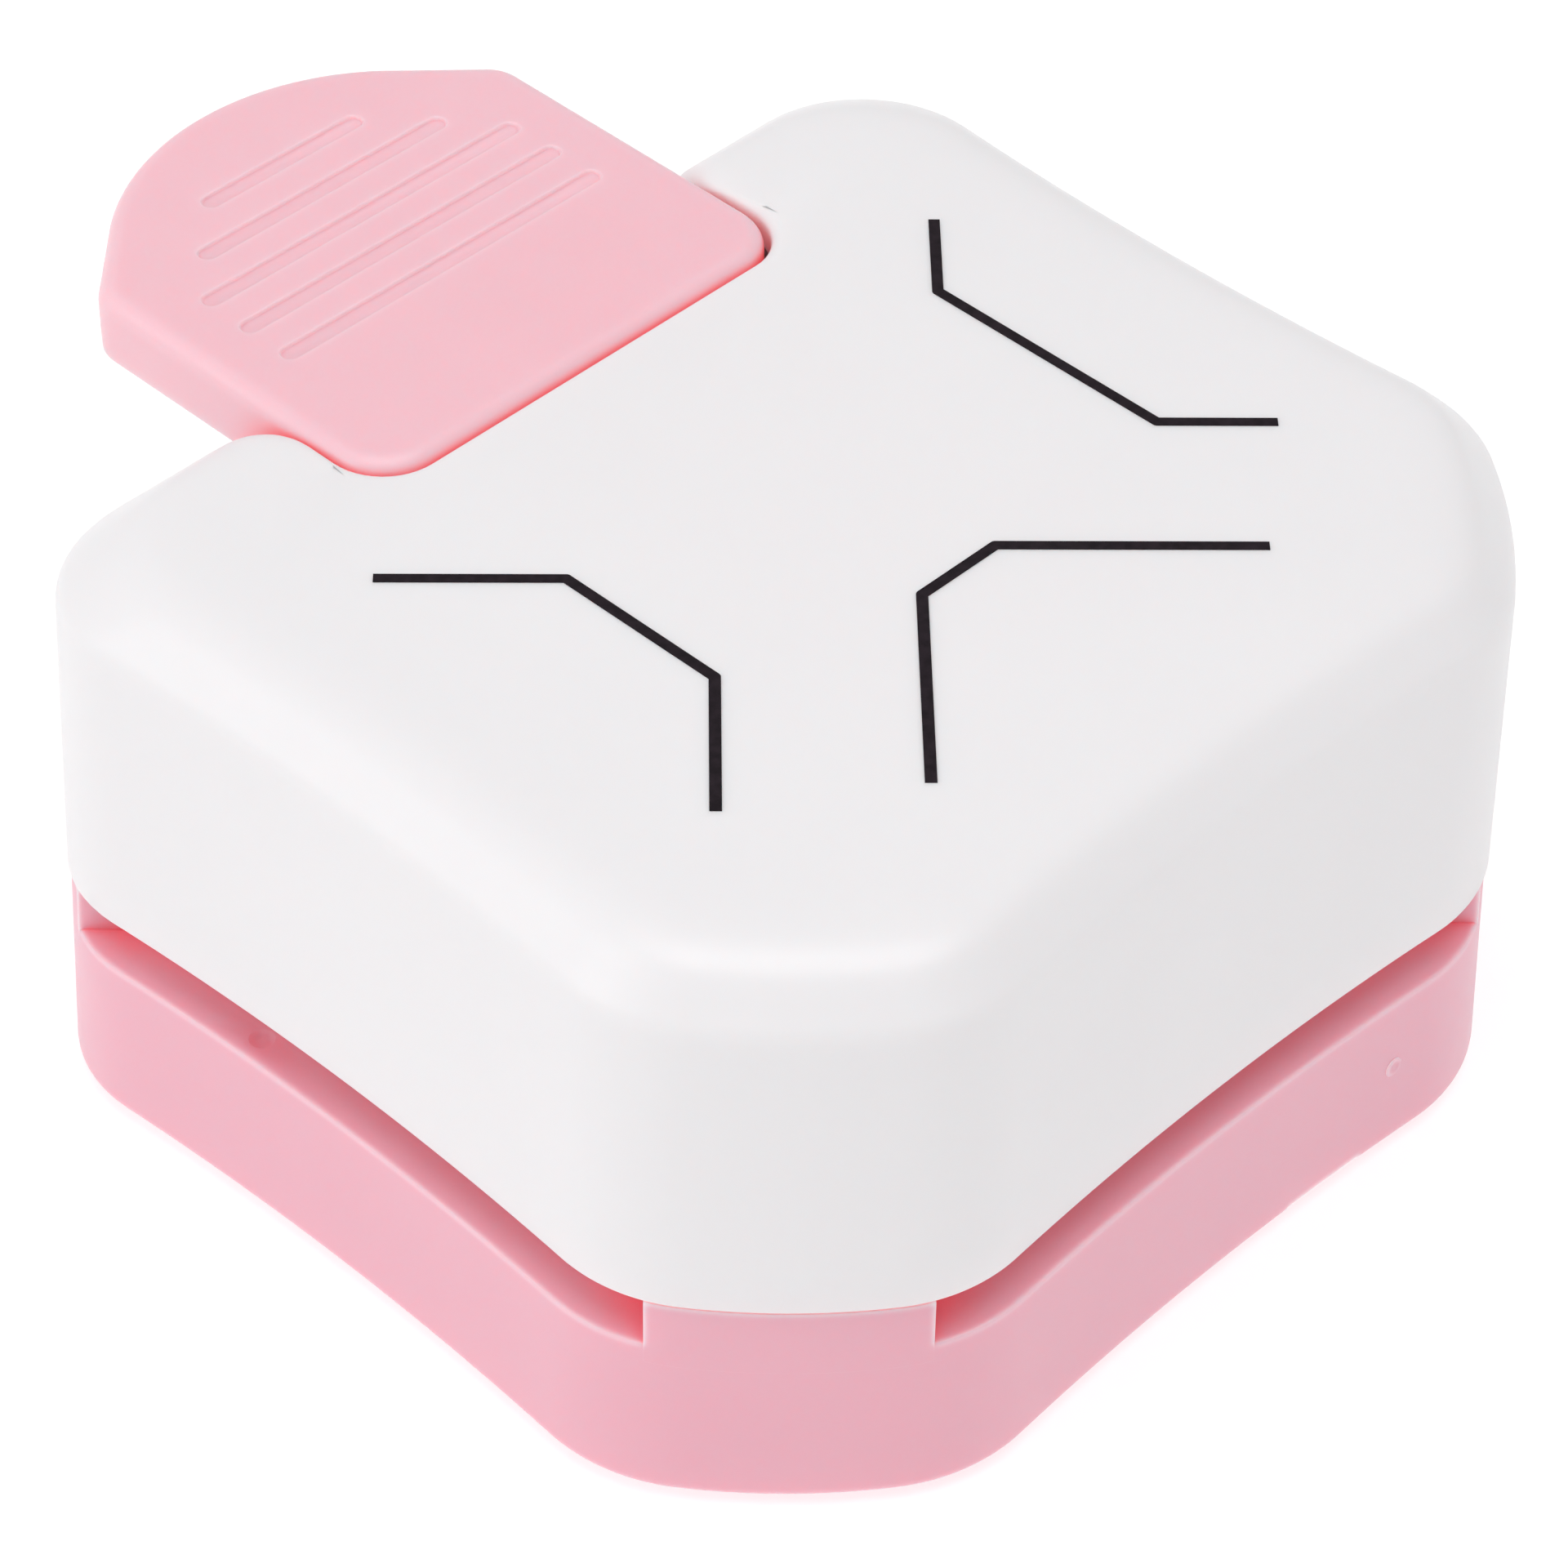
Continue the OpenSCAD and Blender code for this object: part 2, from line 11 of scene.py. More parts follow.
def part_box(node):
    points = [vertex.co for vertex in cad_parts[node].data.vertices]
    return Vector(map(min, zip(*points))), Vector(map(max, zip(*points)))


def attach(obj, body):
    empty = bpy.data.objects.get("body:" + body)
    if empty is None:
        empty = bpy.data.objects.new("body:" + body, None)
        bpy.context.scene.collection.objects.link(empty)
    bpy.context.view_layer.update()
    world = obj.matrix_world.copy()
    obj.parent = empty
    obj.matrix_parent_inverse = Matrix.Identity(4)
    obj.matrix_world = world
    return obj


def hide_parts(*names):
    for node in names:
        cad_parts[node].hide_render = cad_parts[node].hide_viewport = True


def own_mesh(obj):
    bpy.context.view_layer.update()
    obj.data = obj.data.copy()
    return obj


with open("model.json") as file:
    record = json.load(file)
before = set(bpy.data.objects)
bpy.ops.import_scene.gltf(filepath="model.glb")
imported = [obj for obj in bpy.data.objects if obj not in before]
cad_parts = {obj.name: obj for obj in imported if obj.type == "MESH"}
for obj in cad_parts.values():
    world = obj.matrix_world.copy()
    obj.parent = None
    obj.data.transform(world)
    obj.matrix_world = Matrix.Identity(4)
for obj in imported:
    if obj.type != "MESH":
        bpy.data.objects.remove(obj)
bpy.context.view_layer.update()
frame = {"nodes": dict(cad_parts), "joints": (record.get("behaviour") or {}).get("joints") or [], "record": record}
MM = 0.001
scene = bpy.context.scene

# ---------------------------------------------------------------- places, from the frame
joints = {joint["name"]: joint for joint in frame["joints"]}
cover_low, cover_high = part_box("top_cover")

# The body's own millimetres have 0, 0 in the middle of its square outline and 0 at the base's lower edge.
PAD_TIP = 47.95
BODY_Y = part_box("press_lever")[1].y / MM - PAD_TIP
BODY_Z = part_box("base_shell")[0].z / MM
TOP = cover_high.z / MM - BODY_Z
COVER_Z = cover_low.z / MM - BODY_Z
LEDGE_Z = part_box("die_plate")[1].z / MM - BODY_Z


def place(points):
    """Body millimetres to metres in the row frame."""
    moved = np.array(points, float) + np.array([0.0, BODY_Y, BODY_Z])
    return moved * MM


# ---------------------------------------------------------------- camera, floor and light
def look(azimuth, elevation, distance, target, roll=0.0):
    """Pose of a camera or light that looks at target from the given direction."""
    a, e = math.radians(azimuth), math.radians(elevation)
    back = Vector((math.sin(a) * math.cos(e), -math.cos(a) * math.cos(e), math.sin(e)))
    right = Vector((0, 0, 1)).cross(back).normalized()
    up = back.cross(right)
    turn = Matrix.Rotation(math.radians(roll), 3, back)
    right, up = turn @ right, turn @ up
    rotation = Matrix((right, up, back)).transposed().to_4x4()
    return Matrix.Translation(Vector(target) + back * distance) @ rotation


def make_camera():
    """The view of the photograph, fitted to its outlines."""
    data = bpy.data.cameras.new("camera")
    data.sensor_width = 36.0
    data.lens = 128.9
    data.clip_start = 0.01
    camera = bpy.data.objects.new("camera", data)
    scene.collection.objects.link(camera)
    target = place([[-0.06, -0.37, 14.63]])[0]
    camera.matrix_world = look(-46.55, 42.62, 0.32097, target, 1.14)
    scene.camera = camera


def area_light(name, azimuth, elevation, distance, size, power):
    """Round soft light that points at the body; degrees, metres and watts."""
    data = bpy.data.lights.new(name, "AREA")
    data.shape = "DISK"
    data.size = size
    data.energy = power
    light = bpy.data.objects.new(name, data)
    light.matrix_world = look(azimuth, elevation, distance, (0, -0.005, 0.02))
    scene.collection.objects.link(light)


def make_studio():
    """Even white surroundings, a large light from the left, one from above and a faint one at the right."""
    world = bpy.data.worlds.new("studio")
    scene.world = world
    world.use_nodes = True
    background = world.node_tree.nodes["Background"]
    background.inputs["Color"].default_value = (1.0, 1.0, 1.0, 1)
    background.inputs["Strength"].default_value = 0.5
    area_light("key", -115, 32, 0.9, 0.6, 1.6)
    area_light("top", -20, 84, 0.9, 0.8, 3.8)
    area_light("edge", 38, 30, 0.8, 0.06, 0.03)
    scene.view_settings.view_transform = "Standard"


def make_floor():
    """White card that reaches far beyond the picture."""
    mesh = bpy.data.meshes.new("floor")
    radius, segments = 1.6, 64
    turns = [2 * math.pi * i / segments for i in range(segments)]
    rim = [(radius * math.cos(t), radius * math.sin(t), 0) for t in turns]
    mesh.from_pydata(rim, [], [list(range(segments))])
    floor = bpy.data.objects.new("floor", mesh)
    scene.collection.objects.link(floor)
    floor.data.materials.append(floor_material())


# ---------------------------------------------------------------- materials
def new_material(name):
    material = bpy.data.materials.new(name)
    material.use_nodes = True
    tree = material.node_tree
    shader = tree.nodes["Principled BSDF"]
    return material, tree, shader


def object_coords(tree):
    return tree.nodes.new("ShaderNodeTexCoord").outputs["Object"]


def noise(tree, coords, per_metre, detail=3.0, rough=0.55):
    node = tree.nodes.new("ShaderNodeTexNoise")
    node.inputs["Scale"].default_value = per_metre
    node.inputs["Detail"].default_value = detail
    node.inputs["Roughness"].default_value = rough
    tree.links.new(coords, node.inputs["Vector"])
    return node.outputs["Fac"]


def stretch(tree, coords, scale):
    node = tree.nodes.new("ShaderNodeMapping")
    node.inputs["Scale"].default_value = scale
    tree.links.new(coords, node.inputs["Vector"])
    return node.outputs["Vector"]


def remap(tree, value, start, end, low=0.0, high=1.0, easing="LINEAR"):
    node = tree.nodes.new("ShaderNodeMapRange")
    node.interpolation_type = easing
    node.inputs["From Min"].default_value = start
    node.inputs["From Max"].default_value = end
    node.inputs["To Min"].default_value = low
    node.inputs["To Max"].default_value = high
    tree.links.new(value, node.inputs["Value"])
    return node.outputs["Result"]


def spread(tree, value, low, high):
    """A noise value, mapped so that its middle range runs from low to high."""
    return remap(tree, value, 0.3, 0.7, low, high)


def mix(tree, share, fixed, colour):
    """The fixed colour where share is 0, the linked colour where it is 1."""
    node = tree.nodes.new("ShaderNodeMix")
    node.data_type = "RGBA"
    node.inputs["A"].default_value = (*fixed, 1)
    tree.links.new(share, node.inputs["Factor"])
    tree.links.new(colour, node.inputs["B"])
    return node.outputs["Result"]


def openness(tree, reach, samples, inside=False):
    """1 where nothing lies within reach of a point, outside or inside the piece, and less elsewhere."""
    node = tree.nodes.new("ShaderNodeAmbientOcclusion")
    node.inside = node.only_local = inside
    node.samples = samples
    node.inputs["Distance"].default_value = reach
    return node.outputs["AO"]


def tint(tree, value, colour_a, colour_b):
    node = tree.nodes.new("ShaderNodeValToRGB")
    node.color_ramp.elements[0].position = 0.35
    node.color_ramp.elements[0].color = (*colour_a, 1)
    node.color_ramp.elements[1].position = 0.65
    node.color_ramp.elements[1].color = (*colour_b, 1)
    tree.links.new(value, node.inputs["Fac"])
    return node.outputs["Color"]


def bump(tree, shader, heights, depth):
    """heights: [(value, share)]; depth is the height of the relief in metres."""
    total = None
    for value, share in heights:
        scaled = tree.nodes.new("ShaderNodeMath")
        scaled.operation = "MULTIPLY_ADD"
        scaled.inputs[1].default_value = share
        tree.links.new(value, scaled.inputs[0])
        if total is None:
            scaled.inputs[2].default_value = 0
        else:
            tree.links.new(total, scaled.inputs[2])
        total = scaled.outputs["Value"]
    node = tree.nodes.new("ShaderNodeBump")
    node.inputs["Strength"].default_value = 1.0
    node.inputs["Distance"].default_value = depth
    tree.links.new(total, node.inputs["Height"])
    tree.links.new(node.outputs["Normal"], shader.inputs["Normal"])


# Spread of light under the surface: share of red, green and blue, and its reach in metres
PINK_GLOW = (1.0, 0.45, 0.42), 0.0012
WHITE_GLOW = (1.0, 0.8, 0.75), 0.0012
# Painted shade in hollows: how far to look for nearby plastic, and the colour and strength of the red emission
# painted in there as a glow
PAINTED_SHADE_REACH = 0.004
PAINTED_GLOW_COLOUR = (1.0, 0.06, 0.08, 1)
PAINTED_GLOW_STRENGTH = 0.2


def paint_hollow_shade_and_glow(tree, shader, coords, colour, painted_hollow_shade):
    """Painted shade in hollows: where little lies open within reach, the colour turns to the deep colour, and a
    faint red emission is painted in as a glow; both stand in for light that reaches there only through the milky
    plastic.
    Close to the floor neither is painted, standing in for the bright floor lighting it from below."""
    share = remap(tree, openness(tree, PAINTED_SHADE_REACH, 12), 0.12, 0.78, easing="SMOOTHSTEP")
    axes = tree.nodes.new("ShaderNodeSeparateXYZ")
    tree.links.new(coords, axes.inputs["Vector"])
    painted_floor_light = remap(tree, axes.outputs["Z"], 0.003, 0.008, 1.0, 0.0)
    unshaded = tree.nodes.new("ShaderNodeMath")
    unshaded.operation = "MAXIMUM"
    tree.links.new(share, unshaded.inputs[0])
    tree.links.new(painted_floor_light, unshaded.inputs[1])
    # Painted glow: red emission, strongest where the painted shade is deepest
    light = remap(tree, unshaded.outputs["Value"], 0.0, 1.0, PAINTED_GLOW_STRENGTH, 0.0)
    tree.links.new(light, shader.inputs["Emission Strength"])
    shader.inputs["Emission Color"].default_value = PAINTED_GLOW_COLOUR
    return mix(tree, unshaded.outputs["Value"], painted_hollow_shade, colour)


def paint_edge_highlight(tree, colour, edge_highlight, reach):
    """Painted highlight: the colour turns paler at the piece's outer edges, standing in for light that comes into
    the thin plastic from both sides.
    """
    share = remap(tree, openness(tree, reach, 8, inside=True), 0.6, 0.95)
    return mix(tree, share, edge_highlight, colour)


def plastic(name, colour, shade, rough, gloss, scatter, glow, painted_hollow_shade=None, edge_highlight=None):
    """Moulded plastic: a fine satin grain, slow waviness from shrinkage and faint blotches in its colour. When
    given, painted shade with a painted red glow goes into its hollows and a painted highlight along its edges.
    """
    material, tree, shader = new_material(name)
    coords = object_coords(tree)
    slow = noise(tree, coords, 45, 2)
    middle = noise(tree, coords, 420, 3)
    fine = noise(tree, coords, 5200, 2)
    base = tint(tree, slow, shade, colour)
    if painted_hollow_shade:
        base = paint_hollow_shade_and_glow(tree, shader, coords, base, painted_hollow_shade)
    if edge_highlight:
        base = paint_edge_highlight(tree, base, *edge_highlight)
    tree.links.new(base, shader.inputs["Base Color"])
    tree.links.new(spread(tree, middle, rough - 0.035, rough + 0.035), shader.inputs["Roughness"])
    bump(tree, shader, [(slow, 1.0), (middle, 0.05), (fine, 0.022)], 0.00006)
    shader.inputs["IOR"].default_value = 1.5
    shader.inputs["Specular IOR Level"].default_value = gloss
    shader.inputs["Subsurface Weight"].default_value = scatter
    shader.inputs["Subsurface Radius"].default_value = glow[0]
    shader.inputs["Subsurface Scale"].default_value = glow[1]
    return material


def ink_material():
    """Pad printed ink: dense, slightly uneven and a little matter than the plastic under it."""
    material, tree, shader = new_material("print_ink")
    coords = object_coords(tree)
    mottle = noise(tree, coords, 1500, 4)
    black = tint(tree, mottle, (0.012, 0.008, 0.011), (0.022, 0.015, 0.020))
    tree.links.new(black, shader.inputs["Base Color"])
    tree.links.new(spread(tree, mottle, 0.5, 0.6), shader.inputs["Roughness"])
    shader.inputs["Specular IOR Level"].default_value = 0.09
    bump(tree, shader, [(mottle, 1.0)], 0.000006)
    return material


def rubber_material():
    material, tree, shader = new_material("foot_rubber")
    coords = object_coords(tree)
    grain = noise(tree, coords, 2600, 3)
    dust = noise(tree, coords, 260, 4)
    tree.links.new(tint(tree, dust, (0.10, 0.10, 0.105), (0.16, 0.16, 0.165)), shader.inputs["Base Color"])
    tree.links.new(spread(tree, grain, 0.72, 0.88), shader.inputs["Roughness"])
    bump(tree, shader, [(grain, 1.0)], 0.00003)
    return material


def metal(name, colour, shade, rough, brush, depth, spots=0.0):
    """Worked steel: brush is the grain's scale along each axis, per metre over a thousand."""
    material, tree, shader = new_material(name)
    coords = object_coords(tree)
    lines = noise(tree, stretch(tree, coords, brush), 1000, 3, 0.6)
    blotch = noise(tree, coords, 220, 4)
    tree.links.new(tint(tree, blotch, shade, colour), shader.inputs["Base Color"])
    tree.links.new(spread(tree, lines, rough - 0.07, rough + 0.09), shader.inputs["Roughness"])
    bump(tree, shader, [(lines, 1.0), (blotch, spots)], depth)
    shader.inputs["Metallic"].default_value = 1.0
    return material


def floor_material():
    material, tree, shader = new_material("floor_card")
    coords = object_coords(tree)
    fibre = noise(tree, coords, 900, 4)
    tree.links.new(tint(tree, fibre, (0.5, 0.5, 0.5), (0.52, 0.52, 0.52)), shader.inputs["Base Color"])
    shader.inputs["Emission Color"].default_value = (1, 1, 1, 1)
    shader.inputs["Emission Strength"].default_value = 0.62
    tree.links.new(spread(tree, fibre, 0.85, 0.95), shader.inputs["Roughness"])
    shader.inputs["Specular IOR Level"].default_value = 0.1
    return material


def make_materials():
    return {
        # For the pink plastics: the first keyword colour is painted shade for hollows, the second a painted
        # highlight colour and its reach for edges
        "pink_plastic": plastic(
            "pink_plastic", (0.875, 0.475, 0.565), (0.865, 0.46, 0.55), 0.36, 0.5, 1.0, PINK_GLOW,
            painted_hollow_shade=(0.97, 0.1, 0.12), edge_highlight=((0.97, 0.76, 0.81), 0.0005)),
        "lever_plastic": plastic(
            "lever_plastic", (0.94, 0.57, 0.64), (0.93, 0.555, 0.625), 0.36, 0.5, 1.0, PINK_GLOW,
            painted_hollow_shade=(0.97, 0.17, 0.18), edge_highlight=((0.98, 0.76, 0.8), 0.001)),
        "white_plastic": plastic(
            "white_plastic", (0.875, 0.858, 0.872), (0.865, 0.848, 0.862), 0.34, 0.45, 0.5, WHITE_GLOW),
        "print_ink": ink_material(),
        "foot_rubber": rubber_material(),
        "ground_steel": metal(
            "ground_steel", (0.62, 0.63, 0.65), (0.55, 0.56, 0.58), 0.3, (0.25, 6, 6), 0.000004),
        "pressed_steel": metal(
            "pressed_steel", (0.6, 0.61, 0.63), (0.5, 0.51, 0.54), 0.38, (2, 2, 2), 0.000012, 0.5),
        "hardened_steel": metal(
            "hardened_steel", (0.5, 0.5, 0.52), (0.42, 0.42, 0.44), 0.24, (6, 6, 0.3), 0.000003),
        "cast_alloy": metal(
            "cast_alloy", (0.62, 0.62, 0.64), (0.54, 0.54, 0.56), 0.5, (1.5, 1.5, 1.5), 0.00003, 0.6),
        "zinc_screw": metal(
            "zinc_screw", (0.66, 0.66, 0.68), (0.55, 0.56, 0.6), 0.3, (3, 3, 3), 0.000006, 0.3),
        "pin_steel": metal(
            "pin_steel", (0.72, 0.72, 0.74), (0.66, 0.66, 0.68), 0.16, (0.3, 5, 5), 0.000002),
        "spring_steel": metal(
            "spring_steel", (0.42, 0.42, 0.44), (0.35, 0.35, 0.37), 0.28, (2, 2, 2), 0.000004),
    }


# ---------------------------------------------------------------- outlines, in body millimetres
def arc(centre, radius, start, end, steps):
    turn = np.radians(np.linspace(start, end, steps + 1))
    return [(centre[0] + radius * math.cos(t), centre[1] + radius * math.sin(t)) for t in turn]


def line(a, b, steps):
    return [(a[0] + (b[0] - a[0]) * t, a[1] + (b[1] - a[1]) * t) for t in np.linspace(0, 1, steps + 1)]


def angle_of(a, b):
    return math.degrees(math.atan2(b[1] - a[1], b[0] - a[0]))


class Body:
    """Right half of the body's outline. An inset keeps the arcs' centres, so all its curves stay true.
    Only the rear corner keeps its radius for the first bit of the inset, which widens the chamfer there."""

    def __init__(self, half, hollow_r, reach, face_r, shoulder_r, rear, rear_r, keep):
        self.hollow_r, self.face_r, self.shoulder_r = hollow_r, face_r, shoulder_r
        self.rear, self.rear_r, self.keep = rear, rear_r, keep
        self.front = (0.0, -(half + hollow_r))
        self.side = (half + hollow_r, 0.0)
        offset = (reach - face_r) / math.sqrt(2)
        self.face = (offset, -offset)
        self.shoulder = self.meet(self.front, hollow_r + shoulder_r, self.face, face_r - shoulder_r)
        self.side_angle = angle_of(self.front, self.shoulder)
        self.face_angle = angle_of(self.face, self.shoulder)

    @staticmethod
    def meet(a, ra, b, rb):
        """Where the circles of radius ra about a and rb about b cross."""
        a, b = np.array(a), np.array(b)
        d = np.linalg.norm(b - a)
        along = (ra * ra - rb * rb + d * d) / (2 * d)
        up = math.sqrt(ra * ra - along * along)
        way = (b - a) / d
        return tuple(a + along * way + up * np.array([way[1], -way[0]]))

    def rear_corner(self, inset):
        """Centre and radius of the rear corner."""
        radius = self.rear_r - inset + min(inset, self.keep)
        y = self.rear - inset - radius
        return (self.side[0] - math.sqrt((self.hollow_r + inset + radius) ** 2 - y * y), y), radius

    def sides(self, inset):
        """From the middle of the front to the end of the rear corner."""
        points = arc(self.front, self.hollow_r + inset, 90, self.side_angle, 22)
        points += arc(self.shoulder, self.shoulder_r - inset, self.side_angle - 180, self.face_angle, 18)[1:]
        points += arc(self.face, self.face_r - inset, self.face_angle, -90 - self.face_angle, 24)[1:]
        second = (-self.shoulder[1], -self.shoulder[0])
        points += arc(second, self.shoulder_r - inset, -90 - self.face_angle, 90 - self.side_angle, 18)[1:]
        corner, radius = self.rear_corner(inset)
        turn = angle_of(corner, self.side)
        points += arc(self.side, self.hollow_r + inset, 270 - self.side_angle, 180 + turn, 30)[1:]
        points += arc(corner, radius, turn, 90, 16)[1:]
        return points

    def half(self, inset):
        points = self.sides(inset)
        return points + line(points[-1], (0.0, self.rear - inset), 10)[1:]


def ring(half, z):
    """Closed ring of points from a right half; points on the middle line aren't repeated."""
    left = [(-x, y) for x, y in reversed(half) if x > 1e-6]
    return [(x, y, z) for x, y in half + left]


SMOOTH_ANGLE = math.radians(32)


def mesh_object(name, points, faces, material):
    mesh = bpy.data.meshes.new(name)
    mesh.from_pydata([tuple(p) for p in place(points)], [], faces)
    mesh.validate()
    mesh.shade_smooth()
    mesh.set_sharp_from_angle(angle=SMOOTH_ANGLE)
    made = bpy.data.objects.new(name, mesh)
    made.data.materials.append(material)
    scene.collection.objects.link(made)
    return made


def skin(rings):
    """Points and faces of a loft through rings of equal length, capped at both ends."""
    n = len(rings[0])
    points = [p for r in rings for p in r]
    faces = []
    for k in range(len(rings) - 1):
        for i in range(n):
            j = (i + 1) % n
            faces.append([k * n + i, k * n + j, (k + 1) * n + j, (k + 1) * n + i])
    faces.append(list(range(n))[::-1])
    faces.append([(len(rings) - 1) * n + i for i in range(n)])
    return points, faces


def prism(outline, low, high, round_by=0.0):
    """Straight block over an outline, with its upper edges rounded by round_by."""
    steps = 3
    outline = np.array(outline, float)
    rings = [[(x, y, low) for x, y in outline]]
    if round_by:
        for k in range(steps + 1):
            t = math.radians(90 * k / steps)
            rings.append([(x, y, high - round_by + round_by * math.sin(t))
                          for x, y in shrink(outline, round_by * (1 - math.cos(t)))])
    else:
        rings.append([(x, y, high) for x, y in outline])
    return skin(rings)


def shrink(outline, by):
    """Moves each side of a closed outline inwards by the same distance, mitred at its corners."""
    points = np.array(outline, float)
    before, after = np.roll(points, 1, 0), np.roll(points, -1, 0)
    into = points - before
    out = after - points
    into /= np.linalg.norm(into, axis=1)[:, None]
    out /= np.linalg.norm(out, axis=1)[:, None]
    side_a = np.stack([-into[:, 1], into[:, 0]], 1)
    side_b = np.stack([-out[:, 1], out[:, 0]], 1)
    mitre = side_a + side_b
    mitre /= np.maximum((mitre * side_b).sum(1), 0.35)[:, None]
    return points + mitre * by


def circle(x, y, r, steps=40):
    return arc((x, y), r, 0, 360 - 360 / steps, steps - 1)


def combine(obj, shapes, operation):
    """Joins closed shapes to a closed object (UNION) or cuts them away (DIFFERENCE). The exact solver needs
    faces that don't lie in one plane, so shapes overlap by a little where they meet."""
    for points, faces in shapes:
        tool = mesh_object("tool", points, faces, obj.data.materials[0])
        modifier = obj.modifiers.new("combine", "BOOLEAN")
        modifier.operation = operation
        modifier.solver = "EXACT"
        modifier.object = tool
        result = bpy.data.meshes.new_from_object(obj.evaluated_get(bpy.context.evaluated_depsgraph_get()))
        obj.modifiers.clear()
        obj.data = result
        bpy.data.objects.remove(tool)
    obj.data.shade_smooth()
    obj.data.set_sharp_from_angle(angle=SMOOTH_ANGLE)


def cut(obj, shapes):
    combine(obj, shapes, "DIFFERENCE")


def fuse(obj, shapes):
    combine(obj, shapes, "UNION")


def tube(a, b, radius, steps=40):
    """Closed cylinder between two points."""
    a, b = Vector(a), Vector(b)
    way = (b - a).normalized()
    side = way.orthogonal().normalized()
    other = way.cross(side)
    rings = []
    for end in (a, b):
        rings.append([tuple(end + radius * (math.cos(t) * side + math.sin(t) * other))
                      for t in np.linspace(0, 2 * math.pi, steps, endpoint=False)])
    return skin(rings)


def side_block(outline, low_x, high_x):
    """Block with an outline in Y and Z, from low_x to high_x."""
    return skin([[(low_x, y, z) for y, z in outline], [(high_x, y, z) for y, z in outline]])


# ---------------------------------------------------------------- the cover
WALL = 2.2
NOTCH_HALF, NOTCH_Y, NOTCH_FLOOR = 16.3, 14.8, 22.5
MOUTH_R, NOTCH_R, NOTCH_LIP_R = 2.5, 3.8, 0.6
MOUTH_STEPS = 12
BOSS_R = 3.4
COVER = Body(33.68, 220.0, 40.54, 38.14, 10.27, 27.15, 8.0, 3.2)
BASE = Body(34.31, 223.4, 40.89, 38.53, 11.43, 27.68, 9.0, 0.0)
COLUMN_FRONT = 33.2 / math.sqrt(2)
REAR_CORNER = BASE.rear_corner(0)[0]
COLUMNS = [(COLUMN_FRONT, -COLUMN_FRONT), (REAR_CORNER[0] - 0.2, REAR_CORNER[1] - 0.2)]


def cover_profile():
    """(height, inset) of the cover's wall, its rounded chamfer and the soft edge of its top, upwards."""
    draft = 0.49 / (TOP - 3.0 - COVER_Z)
    rows = [(COVER_Z, 0.22), (COVER_Z + 0.07, 0.07), (COVER_Z + 0.22, 0.0)]
    for z in np.linspace(COVER_Z + 3, TOP - 3.9, 7):
        rows.append((z, draft * (z - COVER_Z)))
    bend = [(-3.62, 0.49), (-3.3, 0.545), (-3.0, 0.66), (-2.72, 0.86), (-2.45, 1.11)]
    slope = [(-1.9, 1.65), (-1.35, 2.2)]
    crown = [(-1.05, 2.52), (-0.8, 2.83), (-0.58, 3.18), (-0.41, 3.58), (-0.27, 4.05),
             (-0.16, 4.65), (-0.085, 5.4), (-0.035, 6.3), (0.0, 7.6)]
    return rows + [(TOP + dz, inset) for dz, inset in bend + slope + crown]


def notch_half(inset, ease):
    """The rear end of the cover's outline with the notch in it; ease rounds the notch's upper edge."""
    rear = COVER.rear - inset
    wall = NOTCH_HALF + ease
    mouth = (wall + MOUTH_R, rear - MOUTH_R)
    inner = (wall - NOTCH_R, NOTCH_Y - ease + NOTCH_R)
    points = arc(mouth, MOUTH_R, 90, 180, MOUTH_STEPS)
    points += line(points[-1], (wall, inner[1]), 6)[1:]
    points += arc(inner, NOTCH_R, 0, -90, 12)[1:]
    points += line(points[-1], (0.0, NOTCH_Y - ease), 12)[1:]
    return points


def cover_half(inset, ease, notched):
    """Right half of the cover's outline. Without the notch, its points lie along the rear face instead.
    Both outlines have the same number of points, so that the rings above and below the notch's floor join."""
    sides = COVER.sides(inset)
    rear = notch_half(inset, ease)
    approach = line(sides[-1], rear[0], 4)[1:-1]
    if notched:
        return sides + approach + rear
    arc_x = [x for x, _ in rear[:MOUTH_STEPS + 1]]
    other_x = list(np.linspace(arc_x[-1], 0.0, len(rear) - MOUTH_STEPS))[1:]
    return sides + approach + [(x, COVER.rear - inset) for x in arc_x + other_x]


def make_cover(materials):
    profile = cover_profile()
    rings = []
    floor_inset = np.interp(NOTCH_FLOOR, [z for z, _ in profile], [d for _, d in profile])
    for z, inset in profile:
        if z < NOTCH_FLOOR - 0.3:
            rings.append(ring(cover_half(inset, 0, False), z))
    rings.append(ring(cover_half(floor_inset, 0, False), NOTCH_FLOOR))
    rings.append(ring(cover_half(floor_inset, 0, True), NOTCH_FLOOR))
    for z, inset in profile:
        if z > NOTCH_FLOOR + 0.3:
            lip = max(0.0, z - (TOP - NOTCH_LIP_R))
            ease = NOTCH_LIP_R - math.sqrt(max(0.0, NOTCH_LIP_R ** 2 - lip ** 2))
            rings.append(ring(cover_half(inset, ease, True), z))
    points, faces = skin(rings)
    cover = mesh_object("cover_shell", points, faces, materials["white_plastic"])
    roof = TOP - WALL
    rows = ((COVER_Z - 2, 0), (roof - 1.5, 0.4), (roof - 0.4, 0.8), (roof, 1.9))
    cut(cover, [skin([ring(COVER.half(WALL + extra), z) for z, extra in rows])])
    places = [(s * x, y) for x, y in COLUMNS for s in (1, -1)]
    fuse(cover, [tube((x, y, COVER_Z), (x, y, roof + 0.3), BOSS_R) for x, y in places])
    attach(cover, "body")
    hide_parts("top_cover")


